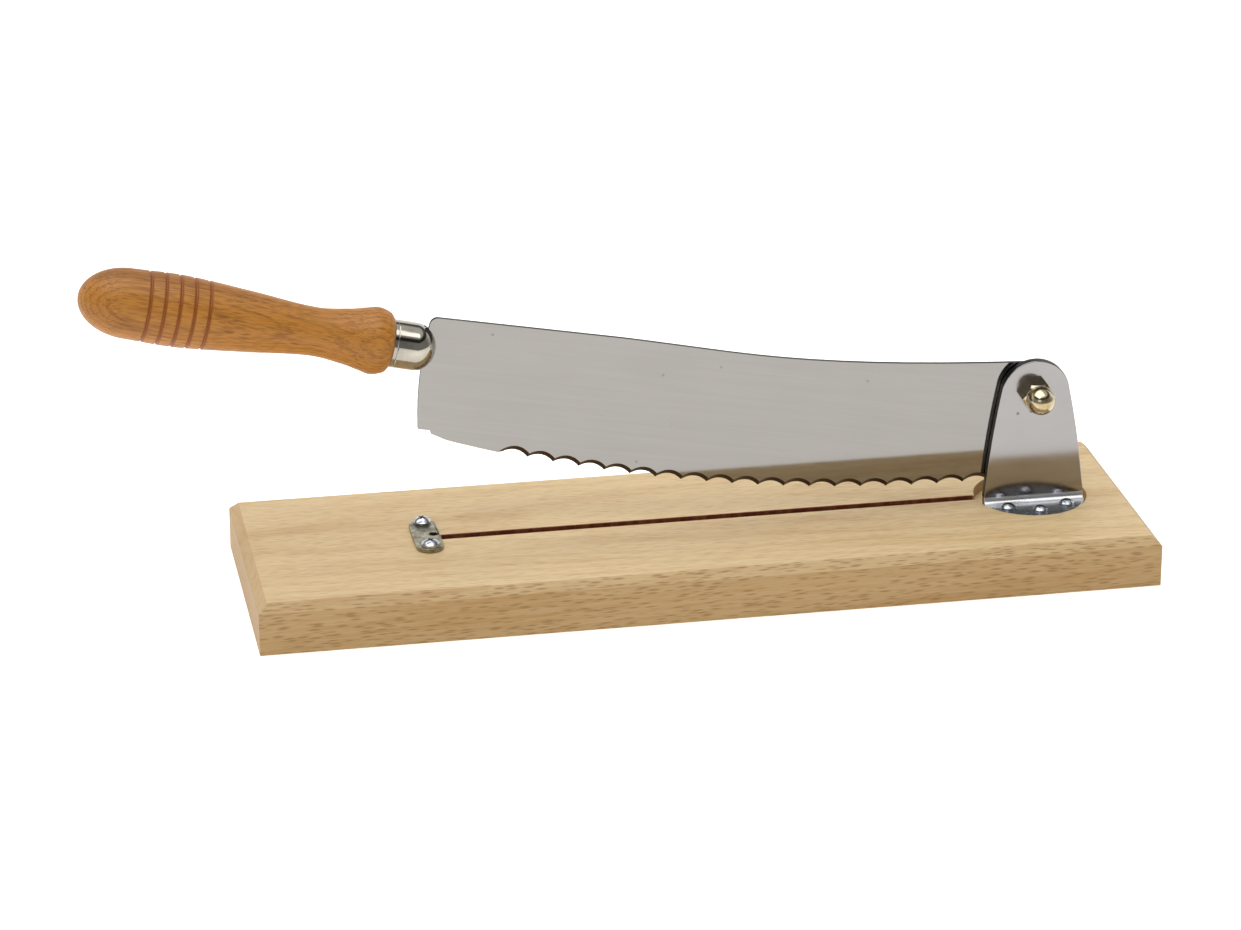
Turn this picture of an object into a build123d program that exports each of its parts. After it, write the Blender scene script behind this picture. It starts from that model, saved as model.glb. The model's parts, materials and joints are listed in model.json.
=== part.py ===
"""Hinged bread slicer: a scalloped blade on a pivot at one end of a beech board.

Millimetres, +Z up. The origin is the centre of the board's underside, the handle is
towards -X and the user stands at -Y. The blade is drawn in its own plane, whose origin
is the pivot and whose +x runs from the handle to the pivot when the blade is closed.
"""

import os
from math import asin, atan, cos, degrees, radians, sin, sqrt

from build123d import *

os.makedirs("parts", exist_ok=True)

# ---------------------------------------------------------------- driving sizes
board_length = 400.0
board_width = 120.0
board_thickness = 23.0
board_chamfer = 4.0

pivot_inset = 44.8
pivot_offset = 0.8
pivot_height = 50.4
bolt_diameter = 8.0
blade_rest_angle = 10.4

blade_reach = 276.2
blade_thickness = 2.0
blade_step = 5.4
blade_step_depth = 1.5
blade_step_slant = 0.6
blade_edge_start = 8.0
heel_bulge = 1.6
heel_lean = 3.2
spine_height = 3.6
spine_corner_radius = 3.5
edge_radius = 710.0
edge_low_point = 154.2
groove_engagement = 9.4
scallop_pitch = 11.8
scallop_depth = 2.3
scallop_bevel = 2.4
scallop_count = 19
scallop_end = 10.9
spine_dip_point = 123.0
spine_dip = 1.3
spine_straight = 76.0
spine_tail_slope = 0.14
tail_run = 16.0
tail_rise = 11.5
tail_radius = 13.5
tail_round_angle = 50.0

groove_width = 4.4
groove_floor_gap = 2.6

stop_plate_thickness = 2.0
stop_plate_width = 12.2
stop_plate_length = 34.5
stop_plate_overlap = 4.8
stop_plate_hole = 4.0
stop_plate_chamfer = 0.4
stop_hole_edge = 0.8
stop_screw_spacing = 25.4

stop_screw_head = 8.0
stop_screw_shank = 4.0
stop_screw_length = 15.0
foot_screw_head = 6.6
foot_screw_shank = 3.5
foot_screw_length = 11.0
screw_head_share = 0.375
screw_crown_share = 0.6
screw_recess_share = 0.56
screw_recess_width = 1.2
screw_recess_depth = 1.5

upright_thickness = 4.0
upright_foot_width = 46.0
upright_waist_width = 40.4
upright_top_radius = 15.7
upright_shoulder_angle = 14.0
foot_bend_radius = 3.0
pocket_depth = 5.0
pocket_gap = 0.8
front_screw_place = 17.6
side_screw_place = 12.6
side_screw_spacing = 27.0

nut_flats = 13.0
nut_hex_height = 6.5
nut_height = 15.0
nut_dome_diameter = 12.4
bolt_head_height = 5.3
bolt_thread_length = 11.0
bolt_point_chamfer = 0.8
nut_bore_relief = 0.6
friction_washer_diameter = 22.0
friction_washer_thickness = 1.0
rear_washer_diameter = 16.0
rear_washer_thickness = 1.6
spring_washer_diameter = 14.6
spring_washer_thickness = 2.2
spring_washer_split = 1.4

handle_length = 136.4
handle_lean = 2.6
handle_axis_drop = 23.4
handle_start = 290.8
handle_butt_radius = 15.6
handle_butt_length = 22.0
handle_neck_radius = 10.6
handle_collar_radius = 14.7
handle_butt_drop = 0.4
handle_mouth_drop = 3.4
handle_mouth_slope = 0.35
handle_swell_drop = 2.4
handle_shoulder_rise = 1.6
handle_collar_place = 7.0
handle_shoulder_place = 19.0
handle_neck_place = 34.0
handle_swell_place = 62.0
handle_belly_place = 92.0
handle_ring_start = 29.0
handle_ring_pitch = 6.45
handle_ring_count = 5
handle_ring_radius = 0.7

ferrule_radius = 10.6
ferrule_length = 20.2
ferrule_dome_length = 9.6
ferrule_spigot_radius = 7.0
ferrule_spigot_length = 14.0
tang_height = 8.0
tang_length = 72.0
tang_root = 8.0

# ---------------------------------------------------------------- clearances
landing_gap = 0.3
axial_play = 0.05
turning_gap = 0.05
bore_gap = 0.05
screw_hole_gap = 0.25
seat_gap = 0.02
cut_overrun = 1.0

# ---------------------------------------------------------------- shared places
board_top = board_thickness
pivot_x = board_length / 2 - pivot_inset
foot_x = pivot_x + pivot_offset
pivot_z = board_top + pivot_height
pocket_floor = board_top - pocket_depth
pocket_radius = sqrt((upright_foot_width / 2) ** 2 + (blade_thickness / 2 + friction_washer_thickness
                                                      + upright_thickness) ** 2) + 2 * pocket_gap
foot_radius = pocket_radius - pocket_gap

heel_level = -(pivot_height - stop_plate_thickness - landing_gap)
edge_low_level = -(pivot_height + groove_engagement)
edge_centre_level = edge_low_level + edge_radius
groove_floor = board_top - groove_engagement - groove_floor_gap
groove_end = foot_x - pocket_radius + cut_overrun
heel_corner = -blade_reach + heel_lean
step_corner = heel_corner + blade_step
stop_plate_right = pivot_x + step_corner - blade_step + stop_plate_overlap
stop_plate_x = stop_plate_right - stop_plate_width / 2
stop_hole_x = stop_plate_right - stop_hole_edge - stop_plate_hole / 2

upright_rear = -blade_thickness / 2 - friction_washer_thickness
upright_front = upright_rear - upright_thickness
bend_line = pocket_floor + upright_thickness + foot_bend_radius
rear_washer_start = blade_thickness / 2 + friction_washer_thickness
spring_washer_start = rear_washer_start + rear_washer_thickness
bolt_head_start = spring_washer_start + spring_washer_thickness

lean = radians(blade_rest_angle)
blade_plane = Plane(origin=(pivot_x, 0, pivot_z), x_dir=(cos(lean), 0, -sin(lean)), z_dir=(0, -1, 0))
pivot_plane = Plane(origin=(pivot_x, 0, pivot_z), x_dir=(1, 0, 0), z_dir=(0, -1, 0))

tilt = radians(handle_lean)
handle_direction = (-cos(tilt), sin(tilt))
handle_offset = (-handle_axis_drop * sin(tilt), -handle_axis_drop * cos(tilt))


def on_handle_axis(distance):
    """Point of the blade plane on the handle's axis, that far from the pivot's level."""
    across, up = handle_direction
    return (handle_offset[0] + across * distance, handle_offset[1] + up * distance)


def edge_level(u):
    """Height of the cutting edge's arc in the blade plane, at u along the blade."""
    return edge_centre_level - sqrt(edge_radius**2 - (u + edge_low_point) ** 2)


axis_start = blade_plane.from_local_coords((*on_handle_axis(0), 0))
axis_end = blade_plane.from_local_coords((*on_handle_axis(1), 0))
handle_axis = Vector(axis_end) - Vector(axis_start)
handle_plane = Plane(origin=axis_start, x_dir=handle_axis, z_dir=(0, -1, 0))


def wood_screw_holes(places, top, shank, length):
    """Pilot holes for wood screws of that shank, cut down from the top level."""
    with BuildPart(Plane.XY.offset(top)) as holes:
        with Locations(*places):
            Cylinder(shank / 2 + bore_gap, length + bore_gap,
                     align=(Align.CENTER, Align.CENTER, Align.MAX))
    return holes.part


def pan_head_screws(places, seat, head_width, shank_width, length):
    """Pan-head screws with a cross recess, heads standing on the seat level."""
    head = head_width / 2
    shank = shank_width / 2
    head_height = screw_head_share * head_width
    crown_rise = screw_crown_share * head_height
    crown_radius = (head**2 + crown_rise**2) / (2 * crown_rise)
    crown_angle = degrees(asin(head / crown_radius))
    recess_span = screw_recess_share * head_width
    with BuildPart() as screw:
        with BuildSketch(Plane.XZ):
            with BuildLine():
                Polyline((0, head_height), (0, -length), (shank, -length + shank_width),
                         (shank, 0), (head, 0), (head, head_height - crown_rise))
                CenterArc((0, head_height - crown_radius), crown_radius, 90, -crown_angle)
            make_face()
        revolve(axis=Axis.Z)
        with BuildSketch(Plane.XY.offset(head_height)):
            Rectangle(recess_span, screw_recess_width)
            Rectangle(screw_recess_width, recess_span)
        extrude(amount=-screw_recess_depth, mode=Mode.SUBTRACT)
    with BuildPart(Plane.XY.offset(seat)) as screws:
        with Locations(*places):
            add(screw.part)
    return screws.part


# ---------------------------------------------------------------- fixings' places
stop_screw_places = [(stop_plate_x, side * stop_screw_spacing / 2) for side in (-1, 1)]
foot_screw_places = [(foot_x, -front_screw_place)]
foot_screw_places += [(foot_x + side * side_screw_spacing / 2, -side_screw_place)
                      for side in (-1, 1)]
foot_top = pocket_floor + upright_thickness

# ---------------------------------------------------------------- board
stop_hole_depth = stop_screw_length - stop_plate_thickness
stop_holes = wood_screw_holes(stop_screw_places, board_top, stop_screw_shank, stop_hole_depth)
open_hole = wood_screw_holes([(stop_hole_x, 0)], board_top, stop_plate_hole, stop_hole_depth)
foot_holes = wood_screw_holes(foot_screw_places, pocket_floor, foot_screw_shank,
                              foot_screw_length)

with BuildPart() as board:
    with BuildSketch():
        Rectangle(board_length, board_width)
    extrude(amount=board_thickness)
    chamfer(board.faces().sort_by(Axis.Z)[-1].edges(), length=board_chamfer)
    with BuildSketch(Plane.XY.offset(board_top)):
        with Locations(((stop_plate_right + groove_end) / 2, 0)):
            Rectangle(groove_end - stop_plate_right, groove_width)
    extrude(amount=groove_floor - board_top, mode=Mode.SUBTRACT)
    with BuildSketch(Plane.XY.offset(board_top)):
        with Locations((foot_x, 0)):
            Circle(pocket_radius)
    extrude(amount=-pocket_depth, mode=Mode.SUBTRACT)
    add(stop_holes, mode=Mode.SUBTRACT)
    add(open_hole, mode=Mode.SUBTRACT)
    add(foot_holes, mode=Mode.SUBTRACT)
board.part.label = "board"
export_step(board.part, "parts/board.step")

# ---------------------------------------------------------------- stop plate
with BuildPart() as stop_plate:
    with BuildSketch(Plane.XY.offset(board_top)):
        with Locations((stop_plate_x, 0)):
            SlotOverall(stop_plate_length, stop_plate_width, rotation=90)
        with Locations(*stop_screw_places):
            Circle(stop_screw_shank / 2 + screw_hole_gap, mode=Mode.SUBTRACT)
        with Locations((stop_hole_x, 0)):
            Circle(stop_plate_hole / 2, mode=Mode.SUBTRACT)
    extrude(amount=stop_plate_thickness)
    chamfer(stop_plate.faces().sort_by(Axis.Z)[-1].outer_wire().edges(),
            length=stop_plate_chamfer)
stop_plate.part.label = "stop_plate"
export_step(stop_plate.part, "parts/stop_plate.step")

stop_plate_screws = pan_head_screws(stop_screw_places, board_top + stop_plate_thickness,
                                    stop_screw_head, stop_screw_shank, stop_screw_length)
stop_plate_screws.label = "stop_plate_screws"
export_step(stop_plate_screws, "parts/stop_plate_screws.step")

# ---------------------------------------------------------------- upright
# The foot is bent forward and its rounded front edge lies inside the round pocket.
bend_inside = upright_front - foot_bend_radius
bend_outside = foot_bend_radius + upright_thickness

with BuildPart() as foot:
    with BuildSketch(Plane(origin=(foot_x, 0, 0), x_dir=(0, 1, 0), z_dir=(1, 0, 0))):
        with BuildLine():
            CenterArc((bend_inside, bend_line), foot_bend_radius, 270, 90)
            CenterArc((bend_inside, bend_line), bend_outside, 270, 90)
            Line((upright_front, bend_line), (upright_rear, bend_line))
            Polyline((bend_inside, foot_top), (-foot_radius, foot_top), (-foot_radius, pocket_floor),
                     (bend_inside, pocket_floor))
        make_face()
    extrude(amount=upright_foot_width / 2, both=True)
    with BuildSketch(Plane.XY.offset(pocket_floor)):
        with Locations((foot_x, 0)):
            Circle(foot_radius)
    extrude(amount=bend_line - pocket_floor, mode=Mode.INTERSECT)
    with Locations(*[(x, y, foot_top) for x, y in foot_screw_places]):
        Cylinder(foot_screw_shank / 2 + screw_hole_gap, 4 * upright_thickness, mode=Mode.SUBTRACT)

half_foot = upright_foot_width / 2
half_waist = upright_waist_width / 2
foot_level = bend_line - pivot_z
waist_level = foot_level / 2
shoulder_x = upright_top_radius * cos(radians(upright_shoulder_angle))
shoulder_level = upright_top_radius * sin(radians(upright_shoulder_angle))

with BuildPart() as upright:
    with BuildSketch(pivot_plane.offset(-upright_rear)):
        with BuildLine():
            Line((pivot_offset - half_foot, foot_level), (pivot_offset + half_foot, foot_level))
            ThreePointArc((pivot_offset + half_foot, foot_level),
                          (pivot_offset / 2 + half_waist, waist_level), (shoulder_x, shoulder_level))
            ThreePointArc((shoulder_x, shoulder_level), (0, upright_top_radius),
                          (-shoulder_x, shoulder_level))
            ThreePointArc((-shoulder_x, shoulder_level),
                          (pivot_offset / 2 - half_waist, waist_level),
                          (pivot_offset - half_foot, foot_level))
        make_face()
        Circle(bolt_diameter / 2 + bore_gap, mode=Mode.SUBTRACT)
    extrude(amount=upright_thickness)
    add(foot.part)
upright.part.label = "upright"
export_step(upright.part, "parts/upright.step")

foot_screws = pan_head_screws(foot_screw_places, foot_top, foot_screw_head, foot_screw_shank,
                              foot_screw_length + upright_thickness)
foot_screws.label = "foot_screws"
export_step(foot_screws, "parts/foot_screws.step")

# ---------------------------------------------------------------- blade
# The tail runs from the last tooth up to a round end about the pivot.
last_tooth = (-scallop_end, edge_level(-scallop_end))
tail_corner = (last_tooth[0] + tail_run, last_tooth[1] + tail_rise)
corner_distance = sqrt(tail_corner[0] ** 2 + tail_corner[1] ** 2)
tail_turn = asin(tail_radius / corner_distance) + asin(-tail_corner[0] / corner_distance)
tail_end = (tail_radius * cos(tail_turn), -tail_radius * sin(tail_turn))
tail_middle = (tail_radius * sin(radians(tail_round_angle)),
               tail_radius * cos(radians(tail_round_angle)))

half_pitch = degrees(scallop_pitch / edge_radius) / 2
last_tooth_angle = degrees(asin((edge_low_point - scallop_end) / edge_radius))
bevel_tilt = atan(scallop_bevel / blade_thickness)
grind_sag = scallop_depth * cos(bevel_tilt)
grind_radius = ((scallop_pitch / 2) ** 2 + grind_sag**2) / (2 * grind_sag)
grind_centre = edge_radius - scallop_depth + grind_radius / cos(bevel_tilt) - scallop_bevel / 2

spine_left = -blade_reach + heel_bulge / 2
spine_straight_end = -blade_reach + spine_straight
heel_middle = (-blade_reach, (spine_height + heel_level) / 2)
tang_start = on_handle_axis(blade_reach - tang_root)
tang_end = on_handle_axis(handle_start + tang_length)

with BuildPart(blade_plane) as blade:
    with BuildSketch(blade_plane):
        with BuildLine():
            step_foot = (step_corner + blade_step_slant, heel_level - blade_step_depth)
            edge_start = (step_corner + blade_edge_start,
                          edge_level(step_corner + blade_edge_start))
            ThreePointArc((spine_left, spine_height), heel_middle, (heel_corner, heel_level))
            Polyline((heel_corner, heel_level), (step_corner, heel_level), step_foot, edge_start)
            ThreePointArc(edge_start, (-edge_low_point, edge_low_level), last_tooth)
            Polyline(last_tooth, tail_corner, tail_end)
            ThreePointArc(tail_end, tail_middle, (0, tail_radius))
            Spline((0, tail_radius), (-spine_dip_point, spine_height - spine_dip),
                   (spine_straight_end, spine_height), tangents=((-1, -spine_tail_slope), (-1, 0)))
            Line((spine_straight_end, spine_height), (spine_left, spine_height))
        make_face()
        Circle(bolt_diameter / 2 + turning_gap, mode=Mode.SUBTRACT)
    extrude(amount=blade_thickness / 2, both=True)
    spine_corner = blade_plane.from_local_coords((spine_left, spine_height, 0))
    fillet(blade.edges().filter_by(Axis.Y).sort_by_distance(spine_corner)[0],
           radius=spine_corner_radius)
    with BuildSketch(blade_plane):
        with BuildLine():
            Line(tang_start, tang_end)
        trace(line_width=tang_height)
    extrude(amount=blade_thickness / 2, both=True)
    with Locations((-edge_low_point, edge_centre_level)):
        with PolarLocations(grind_centre, scallop_count,
                            start_angle=last_tooth_angle - 90 - (2 * scallop_count - 1) * half_pitch,
                            angular_range=(scallop_count - 1) * 2 * half_pitch, endpoint=True):
            Cylinder(grind_radius, 40 * blade_thickness, rotation=(0, -degrees(bevel_tilt), 0),
                     mode=Mode.SUBTRACT)
blade.part.label = "blade"
export_step(blade.part, "parts/blade.step")

# ---------------------------------------------------------------- ferrule and handle
# Both are turned about the handle's axis. Radii are drawn above that axis.
ferrule_end = handle_start - ferrule_length
dome_start = ferrule_end + ferrule_dome_length
spigot_end = handle_start + ferrule_spigot_length

with BuildPart() as ferrule:
    with BuildSketch(handle_plane):
        with BuildLine():
            Polyline((ferrule_end, 0), (spigot_end, 0), (spigot_end, ferrule_spigot_radius),
                     (handle_start, ferrule_spigot_radius), (handle_start, ferrule_radius),
                     (dome_start, ferrule_radius))
            EllipticalCenterArc((dome_start, 0), ferrule_dome_length, ferrule_radius, 90, arc_size=90)
        make_face()
    revolve(axis=Axis(handle_plane.origin, handle_plane.x_dir))
    with BuildSketch(handle_plane):
        with Locations(((ferrule_end + spigot_end) / 2, 0)):
            Rectangle(spigot_end - ferrule_end + cut_overrun, tang_height + 2 * seat_gap)
    extrude(amount=blade_thickness / 2 + seat_gap, both=True, mode=Mode.SUBTRACT)
    with BuildSketch(handle_plane):
        with Locations(((ferrule_end + blade_reach + heel_bulge) / 2, 0)):
            Rectangle(blade_reach + heel_bulge - ferrule_end, 3 * ferrule_radius)
    extrude(amount=blade_thickness / 2 + seat_gap, both=True, mode=Mode.SUBTRACT)
ferrule.part.label = "ferrule"
export_step(ferrule.part, "parts/ferrule.step")

handle_end = handle_start + handle_length
butt_start = handle_end - handle_butt_length
butt_radius = handle_butt_radius - handle_butt_drop
mouth_radius = handle_collar_radius - handle_mouth_drop
rings = [handle_end - handle_ring_start - handle_ring_pitch * step for step in range(handle_ring_count)]

with BuildPart() as handle:
    with BuildSketch(handle_plane):
        with BuildLine():
            Line((handle_start, 0), (handle_start, mouth_radius))
            profile = Spline((handle_start, mouth_radius),
                             (handle_start + handle_collar_place, handle_collar_radius),
                             (handle_start + handle_shoulder_place,
                              handle_neck_radius + handle_shoulder_rise),
                             (handle_start + handle_neck_place, handle_neck_radius),
                             (handle_start + handle_swell_place,
                              handle_butt_radius - handle_swell_drop),
                             (handle_start + handle_belly_place, handle_butt_radius),
                             (butt_start, butt_radius),
                             tangents=((handle_mouth_slope, 1), (1, 0)))
            EllipticalCenterArc((butt_start, 0), handle_butt_length, butt_radius, 0, arc_size=90)
            Line((handle_end, 0), (handle_start, 0))
        make_face()
    revolve(axis=Axis(handle_plane.origin, handle_plane.x_dir))
    with BuildSketch(handle_plane):
        for ring in rings:
            crossing = profile.find_intersection_points(Axis((ring, 0), (0, 1)))[0]
            with Locations((ring, crossing.Y)):
                Circle(handle_ring_radius)
    revolve(axis=Axis(handle_plane.origin, handle_plane.x_dir), mode=Mode.SUBTRACT)
    with BuildSketch(handle_plane):
        with Locations((handle_start + tang_length / 2, 0)):
            Rectangle(tang_length + 2 * cut_overrun, tang_height + 2 * seat_gap)
    extrude(amount=blade_thickness / 2 + seat_gap, both=True, mode=Mode.SUBTRACT)
    with BuildSketch(Plane(origin=handle_plane.from_local_coords((handle_start, 0, 0)),
                           z_dir=handle_plane.x_dir)):
        Circle(ferrule_spigot_radius + seat_gap)
    extrude(amount=ferrule_spigot_length + seat_gap, mode=Mode.SUBTRACT)
handle.part.label = "handle"
export_step(handle.part, "parts/handle.step")

# ---------------------------------------------------------------- pivot
# The bolt goes in from behind: head, spring washer, flat washer, blade, upright, domed nut.


def ring_washer(rear, thickness, outer, inner):
    """A flat ring about the pivot, from the rear level towards the back of the slicer."""
    with BuildPart() as ring:
        with BuildSketch(pivot_plane.offset(-rear)):
            Circle(outer)
            Circle(inner, mode=Mode.SUBTRACT)
        extrude(amount=-thickness)
    return ring.part


bolt_radius = bolt_diameter / 2
washer_bore = bolt_radius + bore_gap
disc_thickness = friction_washer_thickness - axial_play

with BuildPart() as friction_washers:
    add(ring_washer(upright_rear, disc_thickness, friction_washer_diameter / 2, washer_bore))
    add(ring_washer(blade_thickness / 2 + axial_play, disc_thickness,
                    friction_washer_diameter / 2, washer_bore))
friction_washers.part.label = "friction_washers"
export_step(friction_washers.part, "parts/friction_washers.step")

rear_washer = ring_washer(rear_washer_start, rear_washer_thickness, rear_washer_diameter / 2,
                          washer_bore)
rear_washer.label = "rear_washer"
export_step(rear_washer, "parts/rear_washer.step")

with BuildPart() as spring_washer:
    add(ring_washer(spring_washer_start, spring_washer_thickness, spring_washer_diameter / 2,
                    washer_bore))
    with BuildSketch(pivot_plane.offset(-spring_washer_start)):
        with Locations((spring_washer_diameter / 2, 0)):
            Rectangle(spring_washer_diameter, spring_washer_split)
    extrude(amount=-spring_washer_thickness, mode=Mode.SUBTRACT)
spring_washer.part.label = "spring_washer"
export_step(spring_washer.part, "parts/spring_washer.step")

bolt_tip = -upright_front + bolt_thread_length
with BuildPart() as pivot_bolt:
    with BuildSketch(pivot_plane.offset(-bolt_head_start)):
        RegularPolygon(nut_flats / 2, 6, major_radius=False)
    extrude(amount=-bolt_head_height)
    with BuildSketch(pivot_plane.offset(-bolt_head_start)):
        Circle(bolt_radius)
    extrude(amount=bolt_head_start + bolt_tip)
    chamfer(pivot_bolt.faces().sort_by(Axis.Y)[0].edges(), length=bolt_point_chamfer)
pivot_bolt.part.label = "pivot_bolt"
export_step(pivot_bolt.part, "parts/pivot_bolt.step")

dome_radius = nut_dome_diameter / 2
with BuildPart() as cap_nut:
    with BuildSketch(pivot_plane.offset(-upright_front)):
        RegularPolygon(nut_flats / 2, 6, major_radius=False)
    extrude(amount=nut_hex_height)
    with BuildSketch(Plane(origin=(pivot_x, 0, pivot_z), x_dir=(0, -1, 0), z_dir=(1, 0, 0))):
        with BuildLine():
            Polyline((-upright_front, 0), (-upright_front, dome_radius),
                     (-upright_front + nut_height - dome_radius, dome_radius))
            CenterArc((-upright_front + nut_height - dome_radius, 0), dome_radius, 90, -90)
            Line((-upright_front + nut_height, 0), (-upright_front, 0))
        make_face()
    revolve(axis=Axis((pivot_x, 0, pivot_z), (0, -1, 0)))
    with BuildSketch(pivot_plane.offset(-upright_front)):
        Circle(washer_bore)
    extrude(amount=bolt_thread_length + nut_bore_relief, mode=Mode.SUBTRACT)
cap_nut.part.label = "cap_nut"
export_step(cap_nut.part, "parts/cap_nut.step")
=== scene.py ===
"""Pieces and finishes of a hinged bread slicer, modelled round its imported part.

Metres, +Z up. The origin is the centre of the board's underside, the handle is towards -X
and the user stands at -Y. The file is laid out as an add-on and is run as a script.
"""

import json
from functools import partial
from math import asin, cos, pi, radians, sin, sqrt

import bmesh
import bpy
from bpy.props import FloatProperty, FloatVectorProperty, IntProperty, PointerProperty
from bpy.types import Operator, Panel, PropertyGroup
from mathutils import Matrix, Vector


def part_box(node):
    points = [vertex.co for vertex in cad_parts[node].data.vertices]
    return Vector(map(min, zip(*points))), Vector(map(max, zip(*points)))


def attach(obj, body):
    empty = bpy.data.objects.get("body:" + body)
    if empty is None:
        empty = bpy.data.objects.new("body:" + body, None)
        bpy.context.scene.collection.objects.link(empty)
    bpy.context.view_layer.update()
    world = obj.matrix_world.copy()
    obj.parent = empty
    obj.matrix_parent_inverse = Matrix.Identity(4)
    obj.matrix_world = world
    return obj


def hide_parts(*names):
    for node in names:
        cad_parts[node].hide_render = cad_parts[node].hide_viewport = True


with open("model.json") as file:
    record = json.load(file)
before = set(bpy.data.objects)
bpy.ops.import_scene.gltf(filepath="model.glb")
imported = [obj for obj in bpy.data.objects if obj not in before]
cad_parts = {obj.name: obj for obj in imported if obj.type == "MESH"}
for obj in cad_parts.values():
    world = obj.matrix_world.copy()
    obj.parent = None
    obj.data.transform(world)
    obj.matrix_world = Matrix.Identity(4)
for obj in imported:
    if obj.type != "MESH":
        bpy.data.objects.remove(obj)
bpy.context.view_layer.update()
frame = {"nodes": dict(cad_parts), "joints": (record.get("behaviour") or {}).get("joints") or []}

bl_info = {
    "name": "Hinged Bread Slicer",
    "version": (1, 0, 0),
    "blender": (4, 5, 0),
    "location": "3D View > Sidebar > Bread Slicer",
    "description": "Models a hinged bread slicer's pieces, finishes and studio round its frame",
    "category": "Object",
}

MM = 0.001
HAIR = 0.01 * MM  # Corners closer than this to a level are on it.
OVERLAP = 1.0 * MM  # Depth that joined solids and punches go past each other's faces.
OVERRUN = 5.0 * MM  # Height that cutters stand above the board.
joint = frame["joints"][0]
pivot = Vector(joint["pos_m"])
raised_angle = radians(-joint["range_deg"][0])
# Lays a piece turned about +Z on the pivot's axis, with its levels measured along +Y.
onto_pivot = Matrix.Translation(pivot) @ Matrix.Rotation(-pi / 2, 4, "X")


# ---------------- sizes and colours
def linear(code):
    """Linear colour with alpha, from an sRGB hex value such as '#d4bb92'."""
    channels = [int(code[start : start + 2], 16) / 255 for start in (1, 3, 5)]
    toned = [c / 12.92 if c <= 0.04045 else ((c + 0.055) / 1.055) ** 2.4 for c in channels]
    return (*toned, 1.0)


def number(name, description, value, **kind):
    """A number that the user gives, with its unit or subtype."""
    return FloatProperty(name=name, description=description, default=value, **kind)


def length(name, description, millimetres):
    """A size that the user gives in length units."""
    return number(name, description, millimetres * MM, unit="LENGTH", precision=5)


def colour(name, description, code):
    """A colour that the user picks, kept linear."""
    return FloatVectorProperty(
        name=name, description=description, default=linear(code), size=4, subtype="COLOR", min=0, max=1
    )


class BreadSlicerSizes(PropertyGroup):
    """Sizes of the pieces, in the part's own units."""

    board_chamfer: length("Board chamfer", "Width of the chamfer round the top", 4.0)
    board_arris: length("Board arris", "Radius of the sanded edges", 0.7)
    groove_width: length("Groove width", "Width of the sawn groove", 4.4)
    groove_floor: length("Groove floor", "Height of the groove's floor", 11.0)
    pocket_radius: length("Pocket radius", "Radius of the round pocket", 25.37)
    pocket_depth: length("Pocket depth", "Depth of the round pocket", 5.0)
    plate_arris: length("Plate arris", "Radius on the edges of the stamped plates", 0.45)
    stop_hole: length("Stop plate hole", "Diameter of the stop plate's open hole", 4.0)
    stop_hole_edge: length("Stop plate hole edge", "Metal left beside the open hole", 0.8)
    stop_hole_depth: length("Stop hole depth", "Depth of the open hole in the board", 13.0)
    screw_spacing: length("Stop screw spacing", "Distance between the stop plate's screws", 25.4)
    foot_sink: length("Foot sink", "Depth of the foot's upper face below the board's top", 1.0)
    bend_height: length("Bend height", "Height of the foot's bend above the board's top", 2.2)
    front_screw: length("Front foot screw", "Distance of the front foot screw from the blade", 17.6)
    side_screw: length("Side foot screws", "Distance of the side foot screws from the blade", 12.6)
    side_screw_reach: length("Side screw reach", "Sideways place of the side foot screws", 13.5)
    nut_flats: length("Nut flats", "Width across nut and bolt head", 13.0)
    nut_hex: length("Nut hexagon", "Height of the domed nut's hexagon", 6.5)
    nut_dome: length("Nut dome", "Diameter of the nut's dome", 12.4)
    bolt_radius: length("Bolt radius", "Radius of the pivot bolt's shank", 4.0)
    play: length("Pivot play", "Gap left round the bolt and beside the blade", 0.05)
    disc_radius: length("Disc radius", "Radius of the friction discs", 11.0)
    washer_radius: length("Washer radius", "Radius of the flat washer", 8.0)
    spring_gap: length("Spring washer gap", "Gap where the spring washer is split", 1.4)
    ferrule_radius: length("Ferrule radius", "Radius of the chromed ferrule", 10.6)
    ferrule_length: length("Ferrule length", "Length of the ferrule that shows", 20.2)
    ferrule_dome: length("Ferrule dome", "Length of the ferrule's domed end", 9.6)
    handle_start: length("Handle start", "Distance from the pivot to the handle's collar", 290.8)
    handle_drop: length("Handle drop", "Distance of the handle's axis below the pivot", 23.4)
    handle_length: length("Handle length", "Length of the turned handle", 136.4)
    handle_collar: length("Handle collar", "Radius of the flare beside the ferrule", 14.7)
    handle_neck: length("Handle neck", "Radius of the slimmest part of the handle", 10.6)
    handle_belly: length("Handle belly", "Radius of the thickest part of the handle", 15.6)
    butt_length: length("Butt length", "Length of the handle's round butt", 22.0)
    ring_start: length("First ring", "Distance from the handle's end", 29.0)
    ring_pitch: length("Ring pitch", "Distance from one burnt ring to the next", 6.45)
    ring_depth: length("Ring depth", "Depth of the burnt rings", 0.55)
    ring_count: IntProperty(name="Rings", description="Burnt rings on the handle", default=5)
    handle_lean: number(
        "Handle lean", "Angle from the blade's spine", radians(2.6), subtype="ANGLE", unit="ROTATION"
    )


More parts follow.
